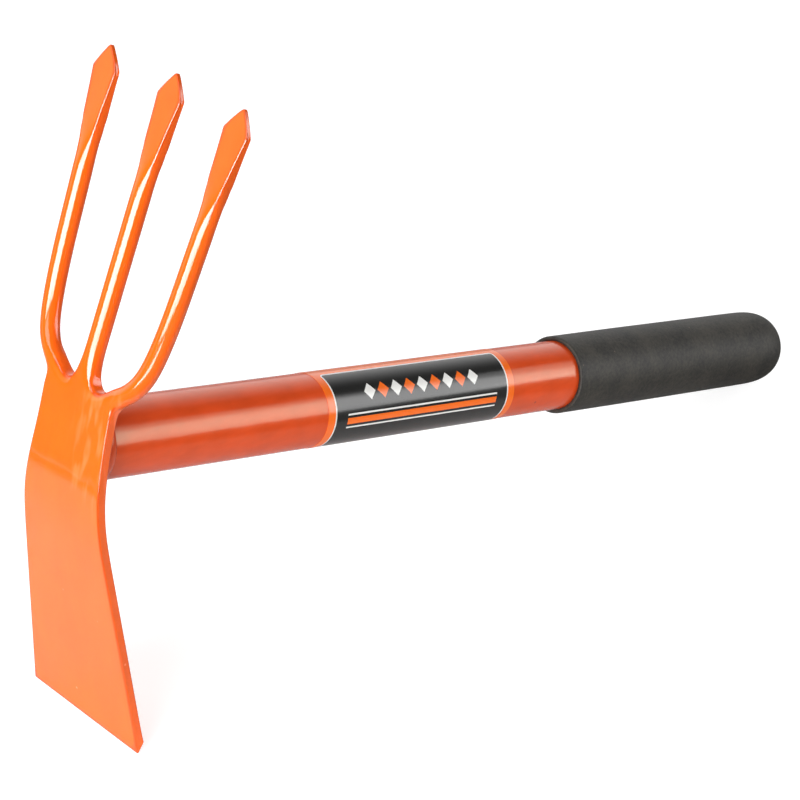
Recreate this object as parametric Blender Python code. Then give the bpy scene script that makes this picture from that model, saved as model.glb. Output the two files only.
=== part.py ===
"""Hand cultivator: a forged hoe and three-tine head welded to a steel tube with a foam grip.

Units are metres. The tool is drawn with its tube along X, the head at the origin and the tines
up, and then set down on the blade's edge and the end of the grip, which is how it stands alone.
"""
import math

import bmesh
import bpy
from mathutils import Vector

MM = 0.001

# Handle tube
TUBE_OD = 25.4 * MM
TUBE_WALL = 1.5 * MM
TUBE_LENGTH = 342.5 * MM

# Clearance left between neighbouring solids
GAP = 0.3 * MM

# Hoe blade and neck
NECK_THICKNESS = 3.3 * MM
NECK_MARGIN = 3.6 * MM
BEND_BELOW_TUBE = 6.0 * MM
BEND_RADIUS = 69.0 * MM
BLADE_ANGLE = math.radians(19.2)
BLADE_LENGTH = 75.5 * MM
NECK_FLARE = 1.0 * MM
BEND_FLARE = 2.7 * MM
BLADE_WIDTH = 55.8 * MM
BLADE_THICKNESS = 3.0 * MM
BLADE_BEVEL = 3.7 * MM

# Tines, bent from round bar and flattened to a spear at the end
TINE_BAR = 6.35 * MM
ROOT_ABOVE_TUBE = 7.2 * MM
ROOT_FILLET = 1.9 * MM
ROOT_FILLET_RISE = 4.6 * MM
TINE_LEAN = math.radians(7.65)
MIDDLE_TINE_LENGTH = 99.9 * MM
OUTER_TINE_LENGTH = 99.1 * MM
OUTER_TINE_SETBACK = 0.75 * MM
OUTER_TINE_OFFSET = 27.4 * MM
OUTER_SHANK_RISE = 32.6 * MM
SHANK_BEND_RADIUS = 105.0 * MM
ARM_BEND_RADIUS = 21.3 * MM
TINE_SPLAY = math.radians(3.3)
SHANK_HEADING = math.radians(13.2)
ARM_HEADING = math.radians(59.0)
SPEAR_LENGTH = 38.0 * MM
SPEAR_POINT = 7.3 * MM
SPEAR_WIDTH = 11.0 * MM
SPEAR_THICKNESS = 1.8 * MM
SPEAR_SETBACK = 0.35 * MM
TIP_WIDTH = 1.8 * MM
TIP_THICKNESS = 1.2 * MM

# Weld bead round the tube's front end
WELD_LEG = 1.9 * MM
WELD_LENGTH = 5.0 * MM

# Printed label
LABEL_START = 99.5 * MM
LABEL_LENGTH = 92.3 * MM
LABEL_THICKNESS = 0.25 * MM
LABEL_SEAM = math.radians(6.0)

# Foam grip and the plug under its closed end
GRIP_OD = 29.0 * MM
GRIP_END_WALL = 9.5 * MM
GRIP_LENGTH = 130.5 * MM
GRIP_DOME = 21.6 * MM
DOME_POWER = 3.6
GRIP_LIP = 0.5 * MM
PLUG_FLANGE = 1.5 * MM
PLUG_DEPTH = 14.0 * MM
PLUG_WALL = 1.6 * MM

# Facets round each turned piece and along the grip's dome
SEGMENTS = 48
DOME_STEPS = 9

# A cubic smoothing step leaves a ring of eight corners at this share of the corners' own radius
OCTAGON_SHRINK = (4.0 + 2.0 * math.cos(math.radians(45.0))) / 6.0

tube_radius = TUBE_OD / 2.0
grip_radius = GRIP_OD / 2.0
bar_radius = TINE_BAR / 2.0
neck_half = tube_radius + NECK_MARGIN
bend_tangent = BEND_RADIUS * math.tan(BLADE_ANGLE / 2.0)
bend_start = -(tube_radius + BEND_BELOW_TUBE) + bend_tangent
bend_length = BEND_RADIUS * BLADE_ANGLE
blade_bottom = bend_start - bend_length - BLADE_LENGTH
root_height = tube_radius + ROOT_ABOVE_TUBE
sweep_behind_tube = max(bend_start + tube_radius, 0.0) ** 2 / (2.0 * BEND_RADIUS)
tube_start = NECK_THICKNESS + sweep_behind_tube + GAP
tube_end = tube_start + TUBE_LENGTH
grip_end = tube_end + PLUG_FLANGE + 2.0 * GAP + GRIP_END_WALL


def clear_scene():
    for item in list(bpy.data.objects):
        bpy.data.objects.remove(item, do_unlink=True)


def finish(name, colour, roughness, metallic=0.0):
    """A plain Principled BSDF material."""
    material = bpy.data.materials.new(name)
    material.use_nodes = True
    shader = material.node_tree.nodes["Principled BSDF"]
    shader.inputs["Base Color"].default_value = (*colour, 1.0)
    shader.inputs["Roughness"].default_value = roughness
    shader.inputs["Metallic"].default_value = metallic
    return material


def add_object(name, bm, material, parent):
    """Turn a bmesh into a smooth-shaded object under the tool's empty."""
    bmesh.ops.recalc_face_normals(bm, faces=bm.faces)
    mesh = bpy.data.meshes.new(name)
    bm.to_mesh(mesh)
    bm.free()
    mesh.shade_smooth()
    mesh.set_sharp_from_angle(angle=math.radians(35.0))
    mesh.materials.append(material)
    item = bpy.data.objects.new(name, mesh)
    bpy.context.collection.objects.link(item)
    item.parent = parent
    return item


# The head's sheet: a flat layout of width u and height w, bent along one side profile

def sheet_profile(w):
    """Front surface (x, z) and its lean angle at height w along the sheet."""
    lean_start = root_height + ROOT_FILLET_RISE
    if w > lean_start:
        run = w - lean_start
        return run * math.sin(TINE_LEAN), lean_start + run * math.cos(TINE_LEAN), TINE_LEAN
    if w >= bend_start:
        return 0.0, w, 0.0
    turn = min((bend_start - w) / BEND_RADIUS, BLADE_ANGLE)
    x = BEND_RADIUS * (1.0 - math.cos(turn))
    z = bend_start - BEND_RADIUS * math.sin(turn)
    straight = max(bend_start - bend_length - w, 0.0)
    return x + straight * math.sin(turn), z - straight * math.cos(turn), -turn


def place(u, w, depth):
    """Point at width u, height w, and depth behind the sheet's front surface."""
    x, z, lean = sheet_profile(w)
    return Vector((x + depth * math.cos(lean), u, z - depth * math.sin(lean)))


def half_width(w):
    """Half the width of the neck and of the flaring blade at height w."""
    bend_end = bend_start - bend_length
    stations = ((tube_radius / 2.0, neck_half), (bend_start, neck_half + NECK_FLARE),
                (bend_end, neck_half + NECK_FLARE + BEND_FLARE), (blade_bottom, BLADE_WIDTH / 2.0))
    if w >= stations[0][0]:
        return neck_half
    for (high, upper), (low, lower) in zip(stations, stations[1:]):
        if w >= low:
            return upper + (lower - upper) * (high - w) / (high - low)
    return BLADE_WIDTH / 2.0


def thickness(w):
    """Plate thickness, thinning from the neck to the blade."""
    share = min(max((bend_start - w) / (bend_start - blade_bottom), 0.0), 1.0)
    return NECK_THICKNESS + (BLADE_THICKNESS - NECK_THICKNESS) * share


class Cage:
    """A flat net of quads with a front and a back layer, closed round its rim by a two-quad wall."""

    def __init__(self):
        self.bm = bmesh.new()
        self.crease = self.bm.edges.layers.float.new("crease_edge")
        self.pin = self.bm.verts.layers.float.new("crease_vert")
        self.nodes = []
        self.quads = []

    def node(self, front, back, rim=None, crease=0.0, pin=0.0, corner=False):
        """Add one point of the net: its front and back places and, on the rim, the point between."""
        middle = rim if rim is not None else (front + back) / 2.0
        self.nodes.append({"front": self.bm.verts.new(front), "back": self.bm.verts.new(back),
                           "middle": middle, "crease": crease, "pin": pin, "corner": corner})
        return len(self.nodes) - 1

    def quad(self, a, b, c, d):
        self.quads.append((a, b, c, d))

    def close(self):
        """Build both layers and the wall along every edge that has a quad on one side only."""
        use = {}
        for quad in self.quads:
            front = [self.nodes[i]["front"] for i in quad]
            back = [self.nodes[i]["back"] for i in reversed(quad)]
            self.bm.faces.new(front)
            self.bm.faces.new(back)
            for i in range(4):
                pair = (quad[i], quad[(i + 1) % 4])
                use.setdefault(frozenset(pair), []).append(pair)
        rim = [pairs[0] for pairs in use.values() if len(pairs) == 1]
        for i in {index for pair in rim for index in pair}:
            node = self.nodes[i]
            node["wall"] = self.bm.verts.new(node["middle"])
            for vert in (node["front"], node["back"]):
                vert[self.pin] = node["pin"]
        for i, j in rim:
            a, b = self.nodes[i], self.nodes[j]
            self.bm.faces.new((b["front"], a["front"], a["wall"], b["wall"]))
            self.bm.faces.new((b["wall"], a["wall"], a["back"], b["back"]))
            for layer in ("front", "back"):
                edge = self.bm.edges.get((a[layer], b[layer]))
                edge[self.crease] = min(a["crease"], b["crease"])
        for node in self.nodes:
            if node["corner"]:
                for layer in ("front", "back"):
                    edge = self.bm.edges.get((node[layer], node["wall"]))
                    edge[self.crease] = 1.0
        return self.bm


EDGE_CREASE = 0.62
# Shares of the half width at which the blade's columns run
COLUMNS = (0.0, 0.18, 0.35, 0.53, 0.70, 0.86, 1.0)


def plate_row(cage, w, sides=(-1, 1)):
    """One row of the blade or neck from edge to edge, listed left to right."""
    row = []
    edge = half_width(w)
    for side in sides:
        for share in reversed(COLUMNS) if side < 0 else COLUMNS[1:]:
            u = side * share * edge
            crease = EDGE_CREASE if share == 1.0 else 0.0
            row.append(cage.node(place(u, w, 0.0), place(u, w, thickness(w)), crease=crease))
    return row


def bottom_row(cage):
    """The blade's cutting edge: sharp in front, ground back on the rear face."""
    row = []
    edge = BLADE_WIDTH / 2.0
    for side in (-1, 1):
        for share in reversed(COLUMNS) if side < 0 else COLUMNS[1:]:
            u = side * share * edge
            front = place(u, blade_bottom, 0.0)
            back = place(u, blade_bottom + BLADE_BEVEL, BLADE_THICKNESS)
            row.append(cage.node(front, back, crease=1.0, pin=0.0, corner=share == 1.0))
    return row


def root_rows(cage):
    """The two rows where the neck thickens and divides into three tines."""
    low = root_height - 1.1 * bar_radius
    lift = 0.35 * bar_radius
    low_row = [(0.0, low + lift), (0.9 * bar_radius, low + lift), (0.32 * neck_half, low), (0.51 * neck_half, low),
               (0.69 * neck_half, low), (0.85 * neck_half, low), (neck_half, low)]
    arm = arm_point(ARM_HEADING)
    dip = 0.1 * ROOT_FILLET_RISE
    top_row = [(0.0, root_height + ROOT_FILLET_RISE),
               (bar_radius + 0.25 * ROOT_FILLET, root_height + 0.87 * ROOT_FILLET_RISE),
               (bar_radius + ROOT_FILLET, root_height + dip),
               (0.5 * (bar_radius + arm[0]) - 0.3 * ROOT_FILLET, root_height - dip)]
    for side in (-1, 0, 1):
        reach = side * bar_radius
        top_row.append((arm[0] + reach * math.cos(ARM_HEADING), arm[1] - reach * math.sin(ARM_HEADING)))
    return [root_row(cage, low_row, NECK_THICKNESS, (6,), EDGE_CREASE),
            root_row(cage, top_row, TINE_BAR, (1, 2, 3, 4, 6), 0.5 * EDGE_CREASE)]


def root_row(cage, points, deep, rim, crease):
    """One row given as its right half; the rim's corners are rounded in by a share of the thickness."""
    skin = 0.16 * (deep - NECK_THICKNESS)
    row = []
    for side in (-1, 1):
        for index in range(6, -1, -1) if side < 0 else range(1, 7):
            u, w = points[index]
            inset = skin if index in rim else 0.0
            row.append(cage.node(place(side * u, w, inset), place(side * u, w, deep - inset),
                                 crease=crease if index in rim else 0.0))
    return row


def arm_point(heading):
    """Centre line of an outer tine where it leans outwards by this angle: two arcs above the neck."""
    shank = min(heading, SHANK_HEADING)
    y = OUTER_TINE_OFFSET - SHANK_BEND_RADIUS * (math.cos(TINE_SPLAY) - math.cos(shank))
    w = root_height + OUTER_SHANK_RISE - SHANK_BEND_RADIUS * (math.sin(shank) - math.sin(TINE_SPLAY))
    if heading > SHANK_HEADING:
        y -= ARM_BEND_RADIUS * (math.cos(SHANK_HEADING) - math.cos(heading))
        w -= ARM_BEND_RADIUS * (math.sin(heading) - math.sin(SHANK_HEADING))
    return Vector((y, w))


def tine_ring(cage, centre, heading, half_wide, half_thick, middle_depth, square, crease=0.0, pin=0.0):
    """Three nodes across a tine, whose front, rim and back points make a ring of eight."""
    corner = math.cos(math.radians(45.0)) / OCTAGON_SHRINK
    round_out = 1.0 / OCTAGON_SHRINK
    edge_wide = half_wide * (corner + (1.0 - corner) * square)
    edge_thick = half_thick * (corner + (1.0 - corner) * square)
    rim_wide = half_wide * (round_out + (1.0 - round_out) * square)
    face_thick = half_thick * (round_out + (1.0 - round_out) * square)
    across = Vector((math.cos(heading), -math.sin(heading)))
    ring = []
    for side in (-1, 0, 1):
        spot = centre + across * side * edge_wide
        thick = edge_thick if side else face_thick
        rim_spot = centre + across * side * rim_wide
        rim = place(rim_spot[0], rim_spot[1], middle_depth) if side else None
        ring.append(cage.node(place(spot[0], spot[1], middle_depth - thick),
                              place(spot[0], spot[1], middle_depth + thick),
                              rim=rim, crease=crease, pin=pin if side else 0.0))
    return ring


def spear_rings(cage, tip, heading, setback):
    """The flattened end of a tine, from where the bar starts to spread to the point."""
    rings = []
    spread = SPEAR_LENGTH - SPEAR_POINT
    back_from_tip = [SPEAR_LENGTH - spread * share for share in (0.0, 0.22, 0.45, 0.67, 0.86, 1.0)]
    along = Vector((math.sin(heading), math.cos(heading)))
    for back in back_from_tip:
        share = (SPEAR_LENGTH - back) / spread
        half_wide = bar_radius + (SPEAR_WIDTH / 2.0 - bar_radius) * share ** 2
        half_thick = bar_radius + (SPEAR_THICKNESS / 2.0 - bar_radius) * share ** 0.8
        depth = bar_radius + setback + (SPEAR_SETBACK - setback) * share
        square = min(1.0, 1.6 * share)
        rings.append(tine_ring(cage, tip - along * back, heading, half_wide, half_thick,
                               depth, square, crease=0.6 * min(1.0, 1.3 * share),
                               pin=0.7 if share == 1.0 else 0.0))
    for share in (0.5, 0.0):
        half_wide = TIP_WIDTH / 2.0 + (SPEAR_WIDTH - TIP_WIDTH) / 2.0 * share * 1.06
        half_thick = TIP_THICKNESS / 2.0 + (SPEAR_THICKNESS - TIP_THICKNESS) / 2.0 * share
        rings.append(tine_ring(cage, tip - along * SPEAR_POINT * share, heading, half_wide, half_thick,
                               bar_radius + SPEAR_SETBACK, 1.0, crease=0.6))
    return rings


def join_rings(cage, rings):
    for low, high in zip(rings, rings[1:]):
        for i in range(2):
            cage.quad(low[i], low[i + 1], high[i + 1], high[i])


def middle_tine(cage, root):
    tip = Vector((0.0, root_height + MIDDLE_TINE_LENGTH))
    rings = [root]
    shank_top = MIDDLE_TINE_LENGTH - SPEAR_LENGTH
    for share in (0.15, 0.27, 0.48, 0.74):
        centre = Vector((0.0, root_height + shank_top * share))
        rings.append(tine_ring(cage, centre, 0.0, bar_radius, bar_radius, bar_radius, 0.0))
    rings += spear_rings(cage, tip, 0.0, 0.0)
    join_rings(cage, rings)


def outer_tine(cage, root, side):
    """An outer tine, drawn on the right and mirrored for the left."""
    start = arm_point(TINE_SPLAY)
    along = Vector((math.sin(TINE_SPLAY), math.cos(TINE_SPLAY)))
    tip = start + along * (OUTER_TINE_LENGTH - OUTER_SHANK_RISE)
    turn = ARM_HEADING - SHANK_HEADING
    headings = [SHANK_HEADING + turn * share for share in (0.75, 0.45, 0.15)]
    headings += [0.5 * (SHANK_HEADING + TINE_SPLAY) + math.radians(2.0), TINE_SPLAY]
    stations = [(arm_point(heading), heading) for heading in headings]
    depths = [bar_radius + OUTER_TINE_SETBACK * share for share in (0.1, 0.4, 0.8, 1.0, 1.0, 1.0)]
    shank = OUTER_TINE_LENGTH - OUTER_SHANK_RISE - SPEAR_LENGTH
    stations.append((start + along * shank * 0.5, TINE_SPLAY))
    rings = [root]
    for (centre, heading), depth in zip(stations, depths):
        mirrored = Vector((side * centre[0], centre[1]))
        rings.append(tine_ring(cage, mirrored, side * heading, bar_radius, bar_radius, depth, 0.0))
    mirrored_tip = Vector((side * tip[0], tip[1]))
    rings += spear_rings(cage, mirrored_tip, side * TINE_SPLAY, OUTER_TINE_SETBACK)
    join_rings(cage, rings)


def head(parent, material):
    """Blade, neck and three tines in one forging."""
    cage = Cage()
    rows = [bottom_row(cage)]
    straight_top = bend_start - bend_length
    first = blade_bottom + BLADE_BEVEL * 1.3
    for share in (0.0, 0.3, 0.6, 0.85):
        rows.append(plate_row(cage, first + (straight_top - first) * share))
    for share in (0.1, 0.45, 0.8):
        rows.append(plate_row(cage, straight_top + bend_length * share))
    for share in (0.08, 0.5, 0.85):
        rows.append(plate_row(cage, bend_start + (tube_radius + WELD_LEG - bend_start) * share))
    rows += root_rows(cage)
    for low, high in zip(rows, rows[1:]):
        for i in range(len(low) - 1):
            cage.quad(low[i], low[i + 1], high[i + 1], high[i])
    top = rows[-1]
    middle_tine(cage, top[5:8])
    outer_tine(cage, top[0:3], -1)
    outer_tine(cage, top[10:13], 1)
    item = add_object("head", cage.close(), material, parent)
    smooth = item.modifiers.new("Forged surface", "SUBSURF")
    smooth.levels = 1
    smooth.render_levels = 1
    return item


# Turned pieces along the tube's axis

def turned(name, profile, material, parent, sweep=2.0 * math.pi, start=0.0):
    """Turn a closed profile of (x, radius) points about the X axis, by a full or a part turn."""
    bm = bmesh.new()
    verts = [bm.verts.new((x, radius * math.sin(start), radius * math.cos(start))) for x, radius in profile]
    outline = bm.faces.new(verts)
    full = abs(sweep - 2.0 * math.pi) < 1e-9
    geometry = list(outline.edges) + verts
    if full:
        bm.faces.remove(outline)
    bmesh.ops.spin(bm, geom=geometry if full else [outline], cent=(0.0, 0.0, 0.0), axis=(1.0, 0.0, 0.0),
                   angle=sweep, steps=SEGMENTS, use_merge=full)
    bmesh.ops.remove_doubles(bm, verts=bm.verts, dist=1e-6)
    return add_object(name, bm, material, parent)


def handle_tube(parent, material):
    inner = tube_radius - TUBE_WALL
    profile = [(tube_start, inner), (tube_start, tube_radius), (tube_end, tube_radius), (tube_end, inner)]
    return turned("handle_tube", profile, material, parent)


def neck_weld(parent, material):
    """Weld bead: its front follows the back of the neck, its flank is hollow."""
    bm = bmesh.new()
    inner = tube_radius + GAP
    rings = []
    for step in range(SEGMENTS):
        angle = 2.0 * math.pi * step / SEGMENTS
        ring = []
        for share, radius in ((0.0, inner), (0.0, inner + WELD_LEG), (0.25, inner + 0.62 * WELD_LEG),
                              (0.6, inner + 0.3 * WELD_LEG), (1.0, inner + 0.12 * WELD_LEG), (1.0, inner)):
            z = radius * math.cos(angle)
            back = place(0.0, z, thickness(z))[0] if z < 0.0 else NECK_THICKNESS
            x = back + 1.5 * GAP + share * WELD_LENGTH
            ring.append(bm.verts.new((x, radius * math.sin(angle), z)))
        rings.append(ring)
    for a, b in zip(rings, rings[1:] + rings[:1]):
        for i in range(len(a)):
            j = (i + 1) % len(a)
            bm.faces.new((a[i], a[j], b[j], b[i]))
    return add_object("neck_weld", bm, material, parent)


def tube_label(parent, material):
    inner = tube_radius + GAP
    outer = inner + LABEL_THICKNESS
    end = LABEL_START + LABEL_LENGTH
    profile = [(LABEL_START, inner), (LABEL_START, outer), (end, outer), (end, inner)]
    under = math.pi + LABEL_SEAM / 2.0
    return turned("tube_label", profile, material, parent, sweep=2.0 * math.pi - LABEL_SEAM, start=under)


def dome_profile():
    """(x, radius) points of the grip's blunt rounded end, from its side to its pole."""
    points = []
    for step in range(DOME_STEPS + 1):
        angle = 0.5 * math.pi * step / DOME_STEPS
        x = grip_end - GRIP_DOME + GRIP_DOME * math.sin(angle) ** (2.0 / DOME_POWER)
        points.append((x, grip_radius * max(math.cos(angle), 0.0) ** (2.0 / DOME_POWER)))
    return points


def foam_grip(parent, material):
    """Closed sleeve: a bore for the tube and its plug, a rounded lip and a blunt domed end."""
    bore = tube_radius + GAP
    bore_end = grip_end - GRIP_END_WALL
    start = grip_end - GRIP_LENGTH
    dome = dome_profile()[:-1]
    outer = [(start, grip_radius - GRIP_LIP), (start + GRIP_LIP, grip_radius)] + dome
    profile = [(start, bore)] + outer + [(grip_end, 0.0), (bore_end, 0.0), (bore_end, bore)]
    bm = bmesh.new()
    verts = [bm.verts.new((x, 0.0, radius)) for x, radius in profile]
    edges = [bm.edges.new(pair) for pair in zip(verts, verts[1:] + verts[:1]) if pair[0] is not verts[-3]]
    bmesh.ops.spin(bm, geom=verts + edges, cent=(0.0, 0.0, 0.0), axis=(1.0, 0.0, 0.0),
                   angle=2.0 * math.pi, steps=SEGMENTS, use_merge=True)
    bmesh.ops.remove_doubles(bm, verts=bm.verts, dist=1e-6)
    return add_object("foam_grip", bm, material, parent)


def tube_end_plug(parent, material):
    """Cup-shaped plug: a skirt in the tube's bore and a flange over its rim."""
    skirt = tube_radius - TUBE_WALL - GAP
    core = skirt - PLUG_WALL
    face = tube_end + GAP
    profile = [(face + PLUG_FLANGE, 0.0), (face, 0.0), (face, core), (face - PLUG_DEPTH, core),
               (face - PLUG_DEPTH, skirt), (face, skirt), (face, tube_radius - 2.0 * GAP),
               (face + PLUG_FLANGE, tube_radius - 2.0 * GAP)]
    bm = bmesh.new()
    verts = [bm.verts.new((x, 0.0, radius)) for x, radius in profile]
    edges = [bm.edges.new(pair) for pair in zip(verts[1:], verts[2:] + verts[:1])]
    bmesh.ops.spin(bm, geom=verts + edges, cent=(0.0, 0.0, 0.0), axis=(1.0, 0.0, 0.0),
                   angle=2.0 * math.pi, steps=SEGMENTS, use_merge=True)
    bmesh.ops.remove_doubles(bm, verts=bm.verts, dist=1e-6)
    return add_object("tube_end_plug", bm, material, parent)


def rest_tilt():
    """Angle by which the handle falls when the tool stands on its blade edge and the grip's end."""
    edge = place(0.0, blade_bottom, 0.0)
    return min(math.atan2(-radius - edge.z, x - edge.x) for x, radius in dome_profile())


def stand_on_floor(root):
    """Centre the tool over the origin, with its lowest points on the floor."""
    bpy.context.view_layer.update()
    graph = bpy.context.evaluated_depsgraph_get()
    points = []
    for item in root.children:
        shape = item.evaluated_get(graph)
        points += [shape.matrix_world @ vert.co for vert in shape.data.vertices]
    low = [min(point[axis] for point in points) for axis in range(3)]
    high = [max(point[axis] for point in points) for axis in range(3)]
    root.location = (-(low[0] + high[0]) / 2.0, -(low[1] + high[1]) / 2.0, -low[2])


def main():
    clear_scene()
    root = bpy.data.objects.new("cultivator", None)
    bpy.context.collection.objects.link(root)
    root.rotation_euler = (0.0, rest_tilt(), 0.0)
    head(root, finish("orange_enamel", (0.95, 0.19, 0.02), 0.12))
    handle_tube(root, finish("tube_paint", (0.62, 0.09, 0.03), 0.25))
    neck_weld(root, finish("weld_paint", (0.60, 0.09, 0.03), 0.35))
    tube_label(root, finish("label_print", (0.045, 0.045, 0.042), 0.3))
    foam_grip(root, finish("foam_rubber", (0.045, 0.044, 0.042), 0.85))
    tube_end_plug(root, finish("plug_plastic", (0.02, 0.02, 0.02), 0.5))
    stand_on_floor(root)


main()
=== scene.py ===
"""Looks of the garden cultivator, laid out as a Blender add-on and run as a script."""
import math

import bmesh
import bpy
from mathutils import Matrix, Vector


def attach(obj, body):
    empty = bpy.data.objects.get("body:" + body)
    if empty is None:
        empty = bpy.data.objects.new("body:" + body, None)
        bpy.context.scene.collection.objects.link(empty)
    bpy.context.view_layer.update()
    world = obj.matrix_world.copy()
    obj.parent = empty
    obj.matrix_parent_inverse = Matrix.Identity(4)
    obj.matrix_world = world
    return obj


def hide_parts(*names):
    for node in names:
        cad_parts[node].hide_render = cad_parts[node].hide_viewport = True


bl_info = {
    "name": "Garden cultivator looks",
    "version": (1, 0, 0),
    "blender": (4, 5, 0),
    "location": "3D View > Sidebar > Cultivator",
    "description": "Makes the painted head, tube, label and foam grip of a hand cultivator",
    "category": "Object",
}

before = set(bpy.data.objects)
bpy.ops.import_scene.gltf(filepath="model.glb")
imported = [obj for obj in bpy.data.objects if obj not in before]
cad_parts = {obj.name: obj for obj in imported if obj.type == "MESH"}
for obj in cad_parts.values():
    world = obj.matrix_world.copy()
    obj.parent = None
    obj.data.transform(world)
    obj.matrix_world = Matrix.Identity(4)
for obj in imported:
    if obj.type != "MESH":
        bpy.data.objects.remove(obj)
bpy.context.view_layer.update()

MM = 0.001

# Clearance between pieces as in the CAD model, and the thin one between pieces that touch
GAP = 0.3 * MM
TOUCH = 0.04 * MM

# The tool is drawn with its tube along X and its neck at the origin, then laid down as the CAD model stands
TILT = math.radians(15.20853)
NECK_PLACE = Vector((-0.171330, 0.0, 0.105004))
TO_FLOOR = Matrix.Translation(NECK_PLACE) @ Matrix.Rotation(TILT, 4, "Y")


def length(name, description, mm):
    return bpy.props.FloatProperty(name=name, description=description, default=mm * MM, min=0.0,
                                   unit="LENGTH", subtype="DISTANCE", precision=5)


def rotation(name, description, degrees):
    return bpy.props.FloatProperty(name=name, description=description, default=math.radians(degrees),
                                   unit="ROTATION")


def brightness(name, description, level):
    return bpy.props.FloatProperty(name=name, description=description, default=level, min=0.0)


def colour(name, description, hexcode):
    return bpy.props.FloatVectorProperty(name=name, description=description, size=3, min=0.0, max=1.0,
                                         subtype="COLOR", default=to_linear(hexcode))


def to_linear(hexcode):
    """sRGB hex, such as FF8032, as linear red, green and blue."""
    values = [int(hexcode[i:i + 2], 16) / 255.0 for i in (0, 2, 4)]
    return tuple(v / 12.92 if v <= 0.04045 else ((v + 0.055) / 1.055) ** 2.4 for v in values)


# Sizes and colours that a user would change

class HeadSettings(bpy.types.PropertyGroup):
    neck_thickness: length("Neck thickness", "Thickness of the neck at the tube", 3.3)
    neck_half: length("Neck half width", "Half the width of the neck at the tube", 16.3)
    neck_flare: length("Neck flare", "How much wider each side is where the bend starts", 1.0)
    bend_flare: length("Bend flare", "How much wider each side gets through the bend", 2.7)
    bend_drop: length("Bend drop", "Depth of the bend's corner below the tube's axis", 18.7)
    bend_radius: length("Bend radius", "Radius of the bend from neck to blade", 69.0)
    blade_angle: rotation("Blade angle", "Angle of the blade behind the neck", 19.2)
    blade_length: length("Blade length", "Length of the blade below the bend", 75.5)
    blade_half: length("Blade half width", "Half the width of the blade's edge", 27.9)
    blade_thickness: length("Blade thickness", "Thickness of the blade", 3.0)
    bevel: length("Edge bevel", "Height of the bevel ground on the back of the edge", 3.7)
    bar_radius: length("Tine bar radius", "Radius of the round tines", 3.175)
    root_height: length("Root height", "Height of the valleys between the tines over the tube's axis", 19.9)
    tine_lean: rotation("Tine lean", "How far the tines lean towards the handle", 7.65)
    middle_length: length("Middle tine", "Length of the middle tine over the valleys", 99.85)
    outer_length: length("Outer tines", "Height of the outer tines over the valleys", 99.1)
    outer_setback: length("Outer set-back", "How far the outer tines stand behind the middle one", 0.75)
    spear_length: length("Spear length", "Length of a tine's flattened end", 38.0)
    spear_width: length("Spear width", "Width of a tine's flattened end", 10.92)
    spear_thickness: length("Spear thickness", "Thickness of a tine's flattened end", 1.8)
    enamel: colour("Head enamel", "Orange enamel on the forged head", "F05F0C")


class HandleSettings(bpy.types.PropertyGroup):
    tube_radius: length("Tube radius", "Outer radius of the steel tube", 12.7)
    tube_wall: length("Tube wall", "Wall thickness of the steel tube", 1.5)
    tube_length: length("Tube length", "Length of the steel tube", 342.5)
    tube_paint: colour("Tube paint", "Red-orange powder coat on the tube", "E64D17")
    ripples: bpy.props.IntProperty(name="Weld ripples", description="Ripples round the weld bead",
                                   default=46, min=3)
    bead_radius: length("Weld bead radius", "Radius of the weld bead's cross-section", 1.5)


class LabelSettings(bpy.types.PropertyGroup):
    start: length("Label start", "Distance of the label from the neck's front", 99.5)
    length: length("Label length", "Length of the label along the tube", 92.3)
    film: length("Film thickness", "Thickness of the printed film", 0.08)
    border: length("Border", "Width of the orange border outside the keyline", 3.3)
    keyline: length("Keyline", "Width of the pale keyline round the dark panel", 0.55)
    ink: colour("Dark panel", "Black ink", "1E1E1D")
    ground: colour("Ground", "Orange ink", "FF7217")
    pale: colour("Pale ink", "White ink", "F2F2EE")


class GripSettings(bpy.types.PropertyGroup):
    radius: length("Grip radius", "Outer radius of the foam grip", 14.5)
    length: length("Grip length", "Length of the foam grip", 130.5)
    dome: length("Dome length", "Length of the rounded end", 21.6)
    end_wall: length("End wall", "Foam beyond the end of the tube", 9.45)
    foam: colour("Foam", "Charcoal foam rubber", "2A2721")


class StageSettings(bpy.types.PropertyGroup):
    paper: colour("Paper", "White paper under the tool", "C6C6C6")
    beyond: colour("Floor", "Pale floor past the paper", "787878")
    floor_size: bpy.props.FloatProperty(name="Floor size", description="Side of the floor", default=16.0,
                                        unit="LENGTH", subtype="DISTANCE")
    strip: brightness("Strip light", "Radiance of the long strip light", 13.3)
    wall: brightness("Wall light", "Radiance of the soft light on the right", 4.5)
    top: brightness("Top light", "Radiance of the soft light above the head", 3.5)
    dim: brightness("Room", "Strength of the air in front of the tool", 0.12)
    bright: brightness("Backdrop", "Strength of the air behind the tool", 1.5)


# Materials

def add(tree, kind, settings, inputs):
    """Add a node with its settings; an input is a value, a socket, or a node whose first output feeds it."""
    node = tree.nodes.new(kind)
    for name, value in settings.items():
        setattr(node, name, value)
    for key, value in inputs.items():
        if isinstance(value, bpy.types.Node):
            value = value.outputs[0]
        if isinstance(value, bpy.types.NodeSocket):
            tree.links.new(value, node.inputs[key])
        else:
            node.inputs[key].default_value = value
    return node


def new_material(name):
    """An empty material with its Principled BSDF wired to the output."""
    material = bpy.data.materials.new(name)
    material.use_nodes = True
    return material, material.node_tree, material.node_tree.nodes["Principled BSDF"]


def fade(tree, sides, limits):
    """Product of soft steps, each from 0 at its outer value to 1 at its inner value along one axis."""
    product = None
    for axis, outer, inner in limits:
        near = add(tree, "ShaderNodeMapRange", {"interpolation_type": "SMOOTHSTEP"},
                   {"Value": sides.outputs[axis], "From Min": outer, "From Max": inner})
        product = near if product is None else add(tree, "ShaderNodeMath", {"operation": "MULTIPLY"},
                                                   {0: product, 1: near})
    return product


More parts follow.
